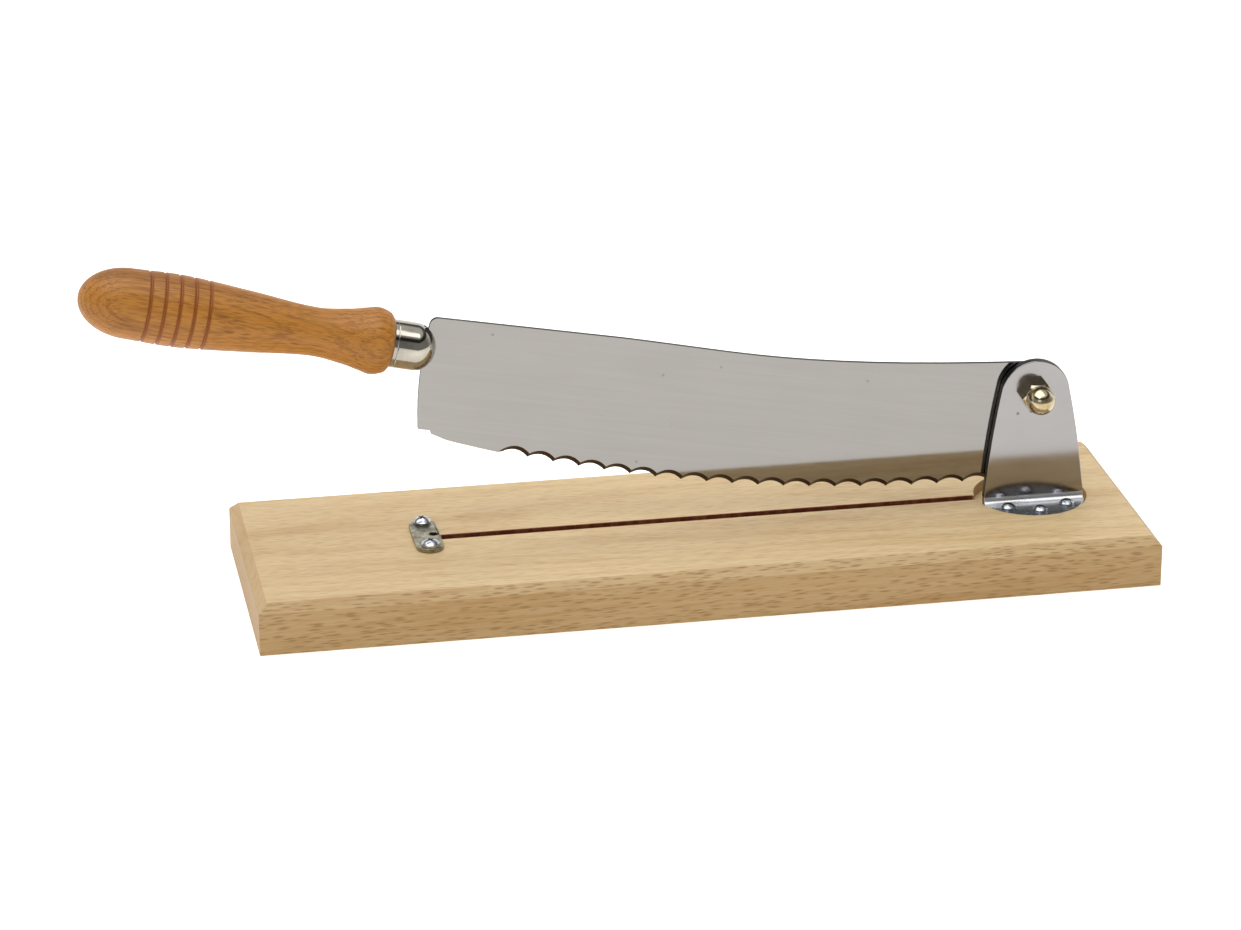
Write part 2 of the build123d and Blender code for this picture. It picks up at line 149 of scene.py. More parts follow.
class BreadSlicerColours(PropertyGroup):
    """Colours of the finishes, as the eye sees them in soft light. Some stand for light: painted shade
    on the board's sides, groove and sheared edges, a painted reflection in the ground bevels and a
    painted highlight on the foot.
    """

    board_pale: colour("Board", "Planed beech between the growth rings", "#d5bc90")
    board_streak: colour("Board streak", "Darker late wood and brown streaks", "#b08550")
    board_fleck: colour("Board fleck", "Ray flecks of the beech", "#6b4722")
    # Painted shade: the sides and ends of the board get this deeper brown for the light that falls
    # less on them than on the top.
    board_side_shade: colour("Board sides", "Sawn sides and ends, browner than the top", "#9f7b46")
    # Painted shade: the groove's walls and the arrises beside them get these dark reddish browns for
    # the shade in the narrow slot.
    groove_shade: colour("Groove", "Saw-burnt walls of the groove", "#6e3417")
    groove_shade_streak: colour("Groove scorch", "Lighter saw marks in the groove", "#9a6238")
    handle_pale: colour("Handle", "Oiled beech of the handle", "#b1762d")
    handle_streak: colour("Handle streak", "Darker grain of the oiled handle", "#7c4910")
    handle_fleck: colour("Handle fleck", "Ray flecks under the oil", "#5c350c")
    ring_burn: colour("Handle ring", "Wood scorched by the burning wire", "#84450f")
    blade_steel: colour("Blade", "Rolled stainless sheet", "#969390")
    upright_steel: colour("Upright", "Polished stainless plate", "#9b9999")
    # Painted reflection: the ground hollows are tinted dark brown for the beech board they reflect.
    bevel_board_reflection: colour("Ground bevel", "Rough-ground hollows of the cutting edge", "#4b3a2c")
    # Painted shade: the thin sheared edges of the blade and the upright are painted near black.
    edge_shade: colour("Sheared edge", "Dark edge that shearing leaves", "#1d1916")
    # Painted highlight: the foot, bent from the same plate, gets this much brighter tint for the light
    # it catches.
    foot_highlight: colour("Foot", "Satin face of the upright's bent foot", "#d3d5d8")
    stop_steel: colour("Stop plate", "Zinc-plated stamping", "#a8a391")
    screw_zinc: colour("Screws", "Bright zinc plating", "#c3c6cc")
    nickel: colour("Domed nut", "Warm nickel plating", "#c6bda6")
    chrome: colour("Ferrule", "Hard chrome plating", "#b7b2a6")
    nylon: colour("Friction discs", "Natural nylon", "#e4dfd2")


class BreadSlicerStudio(PropertyGroup):
    """The pale floor, the soft light and the camera."""

    floor: colour("Floor", "Pale studio floor", "#f4f3f1")
    floor_radius: length("Floor radius", "Reach of the floor round the slicer", 9000.0)
    key_power: number("Key light", "Power of the soft box overhead", 27.0, unit="POWER")
    fill_power: number("Fill light", "Power of the fill from the front", 3.0, unit="POWER")
    sky_strength: number("Sky", "Brightness of the even light round the studio", 0.5)
    floor_glow: number("Floor glow", "Light that comes up through the floor", 0.6)
    lens: length("Lens", "Focal length of the camera", 127.6)
    camera_place: FloatVectorProperty(
        name="Camera place",
        description="Where the camera stands",
        default=(-0.3668, -1.7643, 0.7903),
        subtype="TRANSLATION",
        unit="LENGTH",
    )
    camera_direction: FloatVectorProperty(
        name="Camera direction",
        description="The way the camera looks",
        default=(0.1724, 0.9085, -0.3806),
        subtype="DIRECTION",
    )


# ---------------- modelling by hand
def hold(piece=None):
    """Leaves edit mode and selects that piece alone, or nothing."""
    if bpy.context.object and bpy.context.object.mode != "OBJECT":
        bpy.ops.object.mode_set(mode="OBJECT")
    bpy.ops.object.select_all(action="DESELECT")
    if piece:
        piece.select_set(True)
        bpy.context.view_layer.objects.active = piece


def open_mesh(piece):
    """Opens the piece in edit mode with everything selected, loose edges too."""
    hold(piece)
    bpy.ops.object.mode_set(mode="EDIT")
    bpy.ops.mesh.select_mode(type="VERT")
    bpy.ops.mesh.select_all(action="SELECT")


def pick(piece, kind, test):
    """Selects the faces, edges or corners of the open mesh that pass the test."""
    bpy.ops.mesh.select_mode(type=kind)
    bpy.ops.mesh.select_all(action="DESELECT")
    mesh = bmesh.from_edit_mesh(piece.data)
    if kind == "FACE":
        for face in mesh.faces:
            face.select_set(test(face.calc_center_median(), face.normal))
    elif kind == "EDGE":
        for edge in mesh.edges:
            edge.select_set(test(edge.verts[0].co) and test(edge.verts[1].co))
    else:
        for corner in mesh.verts:
            corner.select_set(test(corner.co))
    mesh.select_flush_mode()
    bmesh.update_edit_mesh(piece.data)


def apply_modifier(piece, kind, **settings):
    """Adds a modifier with its settings and applies it."""
    hold(piece)
    modifier = piece.modifiers.new(kind.title(), kind)
    for name, value in settings.items():
        setattr(modifier, name, value)
    bpy.ops.object.modifier_apply(modifier=modifier.name)


def combine(piece, other, operation="DIFFERENCE"):
    """Cuts the other mesh from the piece, or joins or crosses the two, and removes it."""
    apply_modifier(piece, "BOOLEAN", object=other, operation=operation, solver="EXACT")
    bpy.data.objects.remove(other)


def soften(piece, radius, angle=40.0, segments=3):
    """Rounds the edges that turn by more than the angle."""
    apply_modifier(
        piece,
        "BEVEL",
        width=radius,
        segments=segments,
        limit_method="ANGLE",
        angle_limit=radians(angle),
        miter_outer="MITER_ARC",
    )


def block(centre, size):
    """A block with its centre and its size along each axis."""
    hold()
    bpy.ops.mesh.primitive_cube_add(size=1.0, location=centre, scale=size)
    piece = bpy.context.object
    bpy.ops.object.transform_apply(location=True, rotation=True, scale=True)
    return piece


def turned(profile, segments, hollow=False):
    """A piece turned about +Z: each (height, radius) ring is extruded from the last.

    A solid piece is capped at its first ring. A hollow one comes back to that ring.
    """
    hold()
    level, radius = profile[0]
    fill = "NOTHING" if hollow else "NGON"
    bpy.ops.mesh.primitive_circle_add(vertices=segments, radius=radius, fill_type=fill)
    piece = bpy.context.object
    open_mesh(piece)
    bpy.ops.transform.translate(value=(0, 0, level))
    for next_level, next_radius in profile[1:]:
        rise = {"value": (0, 0, next_level - level)}
        bpy.ops.mesh.extrude_region_move(TRANSFORM_OT_translate=rise)
        level = next_level
        if next_radius == 0:
            bpy.ops.mesh.merge(type="CENTER")
            break
        share = next_radius / radius
        bpy.ops.transform.resize(value=(share, share, 1), center_override=(0, 0, level))
        radius = next_radius
    hold(piece)
    return piece


def dome(base, radius, rise, steps):
    """Rings of a domed end that starts at base with that radius, and closes at its top."""
    angles = [step * pi / 2 / steps for step in range(1, steps)]
    rings = [(base + rise * sin(angle), radius * cos(angle)) for angle in angles]
    return rings + [(base + rise, 0)]


def copied_node(node):
    """A merged copy of a CAD node's mesh, with its flat faces made whole."""
    piece = bpy.data.objects.new(node, frame["nodes"][node].data.copy())
    bpy.context.scene.collection.objects.link(piece)
    hold(piece)
    bpy.ops.mesh.customdata_custom_splitnormals_clear()
    open_mesh(piece)
    bpy.ops.mesh.remove_doubles(threshold=0.004 * MM)
    bpy.ops.mesh.dissolve_limited(angle_limit=radians(0.4))
    hold(piece)
    return piece


def join(pieces):
    """Joins the pieces into the first one."""
    hold(pieces[0])
    for piece in pieces[1:]:
        piece.select_set(True)
    bpy.ops.object.join()
    return pieces[0]


def place(piece, matrix):
    """Moves and turns the piece, and leaves its place in its mesh."""
    hold(piece)
    piece.matrix_world = matrix
    bpy.ops.object.transform_apply(location=True, rotation=True, scale=True)
    return piece


def copy_to(piece, matrix):
    """A copy with its own mesh, moved and turned by the matrix."""
    twin = bpy.data.objects.new(piece.name, piece.data.copy())
    bpy.context.scene.collection.objects.link(twin)
    return place(twin, matrix)


def close_mesh(piece):
    """Merges the corners that meet and turns every face outwards."""
    open_mesh(piece)
    bpy.ops.mesh.remove_doubles(threshold=0.001 * MM)
    bpy.ops.mesh.normals_make_consistent(inside=False)
    hold(piece)


def hand_over(piece, name, materials, body, node, smooth=32.0):
    """Closes the mesh, smooths it, names it, gives it its finishes and body, and hides its CAD node.
    """
    close_mesh(piece)
    bpy.ops.object.shade_smooth_by_angle(angle=radians(smooth))
    apply_modifier(piece, "WEIGHTED_NORMAL", keep_sharp=True, weight=90)
    piece.name = piece.data.name = name
    piece.data.materials.clear()
    for material in materials:
        piece.data.materials.append(material)
    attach(piece, body)
    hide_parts(node)


def along_handle(sizes):
    """Matrix that lays a piece turned about +Z on the handle's axis, from the pivot's level."""
    angle = raised_angle + sizes.handle_lean
    forward = Vector((-cos(angle), 0, sin(angle)))
    upward = Vector((sin(angle), 0, cos(angle)))
    side = forward.cross(upward)
    turn = Matrix((upward, side, forward)).transposed().to_4x4()
    return Matrix.Translation(pivot - sizes.handle_drop * upward) @ turn


# ---------------- finishes
SOFT = {"interpolation_type": "SMOOTHSTEP"}
# A mix of colours takes its share at 0 and its colours at 6 and 7, and gives its result at 2.
RGB = {"output": 2, "data_type": "RGBA"}


def add_node(owner, kind, inputs=(), output=0, **settings):
    """Adds a node to a material or a world, with its settings, and gives back one output.

    The inputs are a list in the node's own order, or a dictionary by name or number. A socket
    is linked, and anything else becomes the input's value.
    """
    node = owner.node_tree.nodes.new("ShaderNode" + kind)
    for name, value in settings.items():
        setattr(node, name, value)
    for key, value in inputs.items() if isinstance(inputs, dict) else enumerate(inputs):
        if isinstance(value, bpy.types.NodeSocket):
            owner.node_tree.links.new(value, node.inputs[key])
        else:
            node.inputs[key].default_value = value
    return node.outputs[output] if node.outputs else None


def new_material(name):
    """An empty node material, the adder bound to it, and the places on the object."""
    material = bpy.data.materials.new(name)
    material.use_nodes = True
    material.node_tree.nodes.clear()
    add = partial(add_node, material)
    return material, add, add("TexCoord", output="Object")


def pattern(add, place, cell, kind="TexNoise", output="Fac", **inputs):
    """A texture whose cells have that size along each axis, in millimetres."""
    scale = [1 / (size * MM) for size in cell]
    scaled = add("VectorMath", [place, scale], operation="MULTIPLY")
    return add(kind, {"Vector": scaled, "Scale": 1.0, **inputs}, output)


def finished(material, add, skin, height, strength, depth):
    """The material, ended with its relief, its surface and its output."""
    relief = {"Strength": strength, "Distance": depth, "Height": height}
    skin["Normal"] = add("Bump", relief)
    surface = add("BsdfPrincipled", skin)
    add("OutputMaterial", {"Surface": surface})
    return material


def beech_grain(add, grain, tints, rays, depth, ring_width):
    """Beech seen in the sawn face: growth rings, fine fibres, brown streaks and ray flecks.

    Returns the colour, a height for the bump, and the fibres.
    """
    pale, streak, fleck = tints
    drift = pattern(add, grain, (160, 26, 26), output="Color", Detail=3.0)
    sway = [drift, (0.0, 9 * MM, 9 * MM), grain]
    swayed = add("VectorMath", sway, operation="MULTIPLY_ADD")
    rings = {"Vector": swayed, "Scale": 2 * pi / (20 * ring_width * MM), "Distortion": 0.0}
    rings = add("TexWave", rings, "Fac", wave_type="RINGS", rings_direction="X")
    late_wood = add("MapRange", [rings, 0.35, 1.0, 0.0, 0.17], **SOFT)
    # Fibres are a tenth of a millimetre wide, drawn at four tenths so that they show.
    fibres = pattern(add, swayed, (22, 0.42, 0.42), Detail=2.0)
    patches = pattern(add, grain, (190, 17, 17), Detail=2.0)
    streaks = add("MapRange", [patches, 0.44, 0.74, 0.0, 0.34], **SOFT)
    threads = add("MapRange", [fibres, 0.3, 0.75, -0.12, 0.3], **SOFT)
    tone = add("Math", [late_wood, streaks], operation="ADD")
    tone = add("Math", [tone, threads], operation="ADD")
    tone = add("Math", [tone, depth], operation="MULTIPLY")
    wood = add("Mix", {0: tone, 6: pale, 7: streak}, **RGB)
    # Ray flecks are dashes about 4 mm long and under a millimetre high.
    dashes = pattern(add, swayed, (8.0, 1.1, 1.1), "TexVoronoi", "Distance")
    dashes = add("MapRange", [dashes, 0.12, 0.5, 1.0, 0.0], **SOFT)
    dashes = add("Math", [dashes, rays], operation="MULTIPLY")
    wood = add("Mix", {0: dashes, 6: wood, 7: fleck}, **RGB)
    height = add("Math", [fibres, dashes], operation="SUBTRACT")
    return wood, height, fibres


def planed_beech(colours, sizes):
    """Planed and sanded beech: pale, satin, with lengthwise grain and short brown flecks."""
    material, add, place_on_wood = new_material("planed_beech")
    normal = add("TexCoord", output="Normal")
    facing = add("SeparateXYZ", [normal], "Y")
    facing = add("Math", [facing], operation="ABSOLUTE")
    end_on = add("SeparateXYZ", [normal], "X")
    end_on = add("Math", [end_on], operation="ABSOLUTE")
    # The rays are cut across on the sides of the board and lie flat in its top.
    rays = add("MapRange", [facing, 0.1, 0.95, 0.22, 0.85])
    depth = add("MapRange", [facing, 0.1, 0.95, 1.0, 1.5])
    log = {
        "Vector": place_on_wood,
        "Location": (0.0, -22 * MM, 105 * MM),
        "Rotation": (0.0, radians(1.3), radians(0.8)),
    }
    grain = add("Mapping", log)
    tints = (colours.board_pale, colours.board_streak, colours.board_fleck)
    wood, height, fibres = beech_grain(add, grain, tints, rays, depth, ring_width=3.4)
    # The sides and ends are painted a deeper brown than the top: painted shade, since less light falls
    # on them than on the top.
    sides = add("MapRange", [facing, 0.3, 0.95, 0.0, 0.66])
    ends = add("MapRange", [end_on, 0.3, 0.95, 0.0, 0.85])
    sawn = add("Math", [sides, ends], operation="MAXIMUM")
    deeper = {0: sawn, 6: wood, 7: colours.board_side_shade}
    wood = add("Mix", deeper, **RGB)
    # The walls of the groove and the arrises beside them are painted dark reddish brown with lighter
    # streaks: painted shade of the narrow slot.
    away = add("SeparateXYZ", [place_on_wood], "Y")
    away = add("Math", [away], operation="ABSOLUTE")
    wall = sizes.groove_width / 2
    darkened = add("MapRange", [away, wall + 0.3 * MM, wall + 0.7 * MM, 1.0, 0.0])
    along = add("SeparateXYZ", [place_on_wood], "X")
    near = pivot.x - sizes.pocket_radius
    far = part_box("stop_plate")[0].x
    for limit, side in ((near, "LESS_THAN"), (far, "GREATER_THAN")):
        within = add("Math", [along, limit], operation=side)
        darkened = add("Math", [darkened, within], operation="MULTIPLY")
    saw_marks = pattern(add, place_on_wood, (3.2, 9, 9))
    saw_marks = add("MapRange", [saw_marks, 0.4, 0.7, 0.0, 0.6])
    scorch_and_shade = {0: saw_marks, 6: colours.groove_shade, 7: colours.groove_shade_streak}
    scorch_and_shade = add("Mix", scorch_and_shade, **RGB)
    wood = add("Mix", {0: darkened, 6: wood, 7: scorch_and_shade}, **RGB)
    roughness = add("MapRange", [fibres, 0.2, 0.8, 0.46, 0.6])
    skin = {"Base Color": wood, "Roughness": roughness, "IOR": 1.45}
    return finished(material, add, skin, height, strength=0.35, depth=0.12 * MM)


def oiled_beech(colours, sizes):
    """Turned, oiled beech: warm golden brown, mottled, with a soft shine and scorched rings."""
    material, add, place_on_wood = new_material("oiled_beech")
    # The log is centred on the handle's axis, with its pith under the grip.
    matrix = along_handle(sizes)
    forward = matrix.to_3x3() @ Vector((0, 0, 1))
    offset = [place_on_wood, matrix.translation]
    offset = add("VectorMath", offset, operation="SUBTRACT")
    log = {
        "Vector": offset,
        "Location": (0.0, 31 * MM, -12 * MM),
        "Rotation": (0.0, -raised_angle - sizes.handle_lean, 0.0),
    }
    grain = add("Mapping", log)
    tints = (colours.handle_pale, colours.handle_streak, colours.handle_fleck)
    wood, height, fibres = beech_grain(add, grain, tints, 0.42, 1.7, ring_width=2.2)
    # The rings repeat at their pitch between the first and the last.
    station = add("VectorMath", [offset, forward], "Value", operation="DOT_PRODUCT")
    first = sizes.handle_start + sizes.handle_length - sizes.ring_start
    last = first - sizes.ring_pitch * (sizes.ring_count - 1)
    half = sizes.ring_pitch / 2
    scorch_and_shade = add("Math", [station, first], operation="SUBTRACT")
    scorch_and_shade = add("Math", [scorch_and_shade, half], operation="PINGPONG")
    fade = [scorch_and_shade, 0.45 * MM, 1.35 * MM, 0.85, 0.0]
    scorch_and_shade = add("MapRange", fade, **SOFT)
    for limit, side in ((first + half, "LESS_THAN"), (last - half, "GREATER_THAN")):
        within = add("Math", [station, limit], operation=side)
        scorch_and_shade = add("Math", [scorch_and_shade, within], operation="MULTIPLY")
    darkened = {0: scorch_and_shade, 6: wood, 7: colours.ring_burn}
    wood = add("Mix", darkened, **RGB)
    roughness = add("MapRange", [fibres, 0.2, 0.8, 0.44, 0.56])
    skin = {
        "Base Color": wood,
        "Roughness": roughness,
        "IOR": 1.4,
        "Coat Weight": 0.03,
        "Coat Roughness": 0.3,
    }
    return finished(material, add, skin, height, strength=0.25, depth=0.1 * MM)


def sheet_steel(name, tint, smooth, rough, line, specks=0.0, turn=0.0):
    """Stainless sheet, rolled and polished: a blurred mirror with faint lengthwise lines.

    The lines run along X after the turn about Y. Smooth and rough bound the roughness.
    """
    material, add, place_on_steel = new_material(name)
    rolled = {"Vector": place_on_steel, "Rotation": (0, turn, 0)}
    rolled = add("Mapping", rolled)
    # Polishing lines are hundredths of a millimetre, drawn up to a millimetre so that they show.
    lines = pattern(add, rolled, line, Detail=3.0)
    clouds = pattern(add, rolled, (38, 38, 24), Detail=4.0)
    wear = add("Math", [lines, clouds], operation="ADD")
    deeper = (*[0.94 * channel for channel in tint[:3]], 1.0)
    shade = add("MapRange", [wear, 0.7, 1.3, 0.0, 1.0])
    metal = add("Mix", {0: shade, 6: deeper, 7: tint}, **RGB)
    # Handling leaves a few small dull marks.
    marks = pattern(add, rolled, (13, 13, 13), "TexVoronoi", "Distance")
    marks = add("MapRange", [marks, 0.03, 0.07, specks, 0.0])
    dull = {0: marks, 6: metal, 7: linear("#5d564c")}
    metal = add("Mix", dull, **RGB)
    roughness = add("MapRange", [wear, 0.6, 1.4, smooth, rough])
    skin = {"Base Color": metal, "Metallic": 1.0, "Roughness": roughness}
    return finished(material, add, skin, lines, strength=0.02, depth=0.01 * MM)


def plated_metal(name, tint, shade, smooth, rough, cell):
    """Plated metal: a bright skin with faint clouds where hands and tools have touched it."""
    material, add, place_on_metal = new_material(name)
    clouds = pattern(add, place_on_metal, (cell, cell, cell), Detail=4.0)
    worn = add("MapRange", [clouds, 0.35, 0.7, 0.0, 1.0])
    clouded = {0: worn, 6: tint, 7: linear(shade)}
    metal = add("Mix", clouded, **RGB)
    roughness = add("MapRange", [clouds, 0.3, 0.7, smooth, rough])
    skin = {"Base Color": metal, "Metallic": 1.0, "Roughness": roughness}
    return finished(material, add, skin, clouds, strength=0.06, depth=0.03 * MM)


def moulded_nylon(colours):
    """Natural nylon, moulded: a milky, waxy white with a soft, slightly uneven skin."""
    material, add, place_on_disc = new_material("moulded_nylon")
    pores = pattern(add, place_on_disc, (0.8, 0.8, 0.8), Detail=2.0)
    rubbed = add("MapRange", [pores, 0.3, 0.8, 0.0, 0.35])
    waxy = {0: rubbed, 6: colours.nylon, 7: linear("#c4bca8")}
    waxy = add("Mix", waxy, **RGB)
    roughness = add("MapRange", [pores, 0.3, 0.8, 0.4, 0.55])
    skin = {"Base Color": waxy, "Roughness": roughness, "IOR": 1.53}
    return finished(material, add, skin, pores, strength=0.15, depth=0.03 * MM)


def screw_zinc(colours):
    """Bright zinc on the screws, the bolt and its washers: silvery, a little blue and cloudy."""
    name = "zinc_plated_steel"
    look = {"shade": "#8f9199", "smooth": 0.14, "rough": 0.3, "cell": 1.6}
    return bpy.data.materials.get(name) or plated_metal(name, colours.screw_zinc, **look)


def shaded_edge_steel(colours):
    """The sheared edges round the blade and the upright, painted near black and dull: painted shade on
    the thin edges.
    """
    name = "shaded_stainless_edge"
    look = {"smooth": 0.35, "rough": 0.5, "line": (0.4, 6, 0.4)}
    return bpy.data.materials.get(name) or sheet_steel(name, colours.edge_shade, **look)


# ---------------- pieces
class BREADSLICER_OT_board(Operator):
    """Shapes the beech board with its chamfer, sawn groove and round pocket"""

    bl_idname = "bread_slicer.board"
    bl_label = "Beech board"

    def execute(self, context):
        sizes = context.scene.slicer_sizes
        low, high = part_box("board")
        board = block((low + high) / 2, high - low)
        open_mesh(board)
        pick(board, "EDGE", lambda corner: corner.z > high.z - HAIR)
        bpy.ops.mesh.bevel(offset=sizes.board_chamfer, offset_type="OFFSET", segments=1)
        hold(board)
        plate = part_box("stop_plate")[1]
        pocket_x = sum(corner.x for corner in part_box("upright")) / 2
        groove_length = pocket_x - sizes.pocket_radius + OVERLAP - plate.x
        groove_depth = high.z - sizes.groove_floor
        groove = block(
            (plate.x + groove_length / 2, 0, high.z),
            (groove_length, sizes.groove_width, 2 * groove_depth),
        )
        combine(board, groove)
        hole_radius = sizes.stop_hole / 2
        hole_x = plate.x - sizes.stop_hole_edge - hole_radius
        cuts = (
            (pocket_x, sizes.pocket_depth, sizes.pocket_radius, 128),
            (hole_x, sizes.stop_hole_depth, hole_radius, 48),
        )
        for x, depth, radius, segments in cuts:
            cutter = turned([(-depth, radius), (OVERRUN, radius)], segments)
            combine(board, place(cutter, Matrix.Translation((x, 0, high.z))))
        soften(board, sizes.board_arris, angle=25.0, segments=4)
        wood = planed_beech(context.scene.slicer_colours, sizes)
        hand_over(board, "beech_board", [wood], "stand", "board")
        return {"FINISHED"}


class BREADSLICER_OT_stop_plate(Operator):
    """Stamps the stop plate with its round ends and its three holes"""

    bl_idname = "bread_slicer.stop_plate"
    bl_label = "Stop plate"

    def execute(self, context):
        sizes = context.scene.slicer_sizes
        low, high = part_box("stop_plate")
        radius = (high.x - low.x) / 2
        centre = (low + high) / 2
        reach = (high.y - low.y) / 2 - radius
        plate = turned([(low.z, radius), (high.z, radius)], segments=64)
        place(plate, Matrix.Translation((centre.x, 0, 0)))
        for side in (-1, 1):
            open_mesh(plate)
            pick(plate, "VERT", lambda corner: corner.y * side > HAIR)
            bpy.ops.transform.translate(value=(0, side * reach, 0))
        hold(plate)
        hole_radius = sizes.stop_hole / 2
        hole_x = high.x - sizes.stop_hole_edge - hole_radius
        half = sizes.screw_spacing / 2
        for x, y in ((hole_x, 0), (centre.x, half), (centre.x, -half)):
            levels = (low.z - OVERLAP, high.z + OVERLAP)
            punch = turned([(level, hole_radius) for level in levels], segments=48)
            combine(plate, place(punch, Matrix.Translation((x, y, 0))))
        soften(plate, sizes.plate_arris, angle=50.0)
        tint = context.scene.slicer_colours.stop_steel
        steel = plated_metal(
            "stamped_zinc_plate", tint, shade="#76725f", smooth=0.24, rough=0.42, cell=2.4
        )
        hand_over(plate, "stamped_stop_plate", [steel], "stand", "stop_plate")
        return {"FINISHED"}


def pan_head_screw(head_width, shank_width, screw_length=15.0 * MM):
    """A pan-head wood screw with a cross recess. Its head stands on the level 0."""
    head = head_width / 2
    shank = shank_width / 2
    # A pan head is three eighths of its width high, and six tenths of that is its dome.
    height = 0.375 * head_width
    rise = 0.6 * height
    lip = 0.15 * MM
    slot = 1.2 * MM
    slot_depth = 1.5 * MM
    steps = 9
    curve = (head**2 + rise**2) / (2 * rise)
    reach = asin(head / curve)
    profile = [(-screw_length, 0.1 * shank), (-screw_length + shank_width, shank), (0, shank)]
    profile += [(0, head - lip), (lip, head), (height - rise, head)]
    for step in range(1, steps):
        angle = reach * (1 - step / steps)
        profile.append((height - curve * (1 - cos(angle)), curve * sin(angle)))
    profile.append((height, 0))
    screw = turned(profile, segments=48)
    soften(screw, 0.12 * MM, angle=45.0, segments=2)
    span = 0.56 * head_width
    for size in ((span, slot), (slot, span)):
        bar = block((0, 0, height), (*size, 2 * slot_depth))
        open_mesh(bar)
        pick(bar, "FACE", lambda centre, normal: normal.z < -0.5)
        bpy.ops.transform.resize(value=(0.6, 0.6, 1))
        hold(bar)
        combine(screw, bar)
    return screw


class BREADSLICER_OT_screws(Operator):
    """Turns the pan-head screws of the stop plate and of the upright's foot"""

    bl_idname = "bread_slicer.screws"
    bl_label = "Pan-head screws"

    def execute(self, context):
        sizes = context.scene.slicer_sizes
        zinc = screw_zinc(context.scene.slicer_colours)
        low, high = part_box("stop_plate")
        centre_x = (low.x + high.x) / 2
        half = sizes.screw_spacing / 2
        screw = pan_head_screw(head_width=8.0 * MM, shank_width=4.0 * MM)
        places = [((centre_x, -half, high.z), 25), ((centre_x, half, high.z), 62)]
        self.set_screws(screw, places, zinc, "stop_plate_screw_pair", "stop_plate_screws")
        foot_x = sum(corner.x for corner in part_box("upright")) / 2
        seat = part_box("board")[1].z - sizes.foot_sink
        side = sizes.side_screw_reach
        screw = pan_head_screw(head_width=6.6 * MM, shank_width=3.5 * MM)
        places = [
            ((foot_x, -sizes.front_screw, seat), 38),
            ((foot_x - side, -sizes.side_screw, seat), 12),
            ((foot_x + side, -sizes.side_screw, seat), 71),
        ]
        self.set_screws(screw, places, zinc, "upright_foot_screw_set", "foot_screws")
        return {"FINISHED"}

    def set_screws(self, screw, places, zinc, name, node):
        """Copies the screw to each place, turned by its own angle."""
        screws = [
            copy_to(screw, Matrix.Translation(spot) @ Matrix.Rotation(radians(angle), 4, "Z"))
            for spot, angle in places
        ]
        bpy.data.objects.remove(screw)
        hand_over(join(screws), name, [zinc], "stand", node)


class BREADSLICER_OT_upright(Operator):
    """Rounds the upright's edges and polishes its plate"""

    bl_idname = "bread_slicer.upright"
    bl_label = "Upright"

    def execute(self, context):
        sizes = context.scene.slicer_sizes
        colours = context.scene.slicer_colours
        upright = copied_node("upright")
        soften(upright, sizes.plate_arris, angle=50.0)
        polish = {"smooth": 0.11, "rough": 0.16, "line": (14, 14, 9), "specks": 0.8}
        steel = sheet_steel("polished_stainless_plate", colours.upright_steel, **polish)
        # The foot is satin, with a brighter tint than the plate as a painted highlight.
        dulled = {"smooth": 0.22, "rough": 0.36, "line": (9, 3, 9)}
        satin = sheet_steel("satin_bent_foot_highlight", colours.foot_highlight, **dulled)
        finishes = [steel, shaded_edge_steel(colours), satin]
        hand_over(upright, "upright_plate", finishes, "stand", "upright")
        bend_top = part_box("board")[1].z + sizes.bend_height
        # The foot is satin and tinted brighter as a painted highlight, the plate's faces are polished,
        # and its edges are painted near black as painted shade.
        for face in upright.data.polygons:
            edge_on = abs(face.normal.y) < 0.5
            face.material_index = 2 if face.center.z < bend_top else 1 if edge_on else 0
        return {"FINISHED"}


class BREADSLICER_OT_blade(Operator):
    """Finishes the scalloped blade with a softened spine and its polishing lines"""

    bl_idname = "bread_slicer.blade"
    bl_label = "Blade"

    def execute(self, context):
        colours = context.scene.slicer_colours
        blade = copied_node("blade")
        soften(blade, 0.18 * MM, angle=60.0, segments=2)
        turn = -raised_angle
        polish = {"smooth": 0.05, "rough": 0.085, "line": (60, 5, 1.6), "specks": 0.4}
        steel = sheet_steel("rolled_stainless_blade", colours.blade_steel, turn=turn, **polish)
        # The ground bevels are rough, and tinted brown as a painted reflection of the board.
        grinding = {"smooth": 0.3, "rough": 0.45, "line": (0.5, 5, 2)}
        ground = sheet_steel("ground_scallops_board_reflection", colours.bevel_board_reflection, turn=turn, **grinding)
        finishes = [steel, ground, shaded_edge_steel(colours)]
        hand_over(blade, "scalloped_blade", finishes, "knife", "blade", smooth=20.0)
        # Flat faces are rolled; sloping ones are ground and tinted brown as a painted reflection of
        # the board; the rest are the sheared edges, painted near black as painted shade.
        for face in blade.data.polygons:
            lean = abs(face.normal.y)
            face.material_index = 0 if lean > 0.95 else 1 if lean > 0.3 else 2
        return {"FINISHED"}


